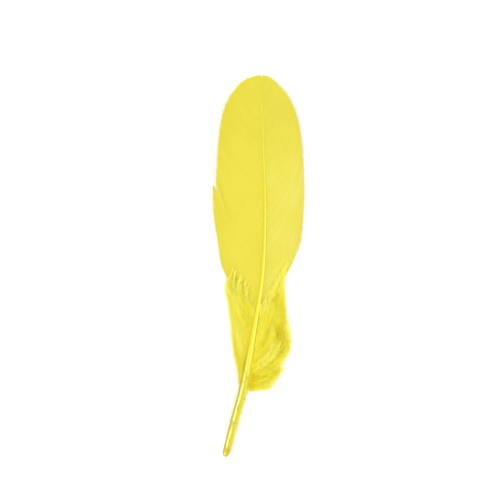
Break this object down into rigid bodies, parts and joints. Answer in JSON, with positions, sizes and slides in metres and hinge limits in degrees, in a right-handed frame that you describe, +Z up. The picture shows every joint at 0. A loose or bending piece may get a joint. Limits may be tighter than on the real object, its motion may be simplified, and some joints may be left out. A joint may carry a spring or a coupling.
{
  "type": "goose feather",
  "caption": "Dyed goose feather lying flat, hollow side up: a tapering horn shaft between two smooth web vanes, with downy barbs above the bare quill.",
  "frame": {"origin": "on the surface the feather lies on, under the middle of its box", "axes": "+Z up, away from the surface; +Y along the feather to its tip; +X to its right-hand side seen from above with the tip up"},
  "size_m": [0.0406, 0.1694, 0.0064],
  "materials": {
    "shaft": "smooth translucent feather horn, dyed yellow",
    "vane": "matt closed web of fine barbs, dyed yellow",
    "down": "soft loose downy barbs, dyed yellow"
  },
  "bodies": {
    "root": {"shaft": "shaft", "vane_left": "vane", "vane_right": "vane", "down_left": "down", "down_right": "down"}
  },
  "joints": []
}
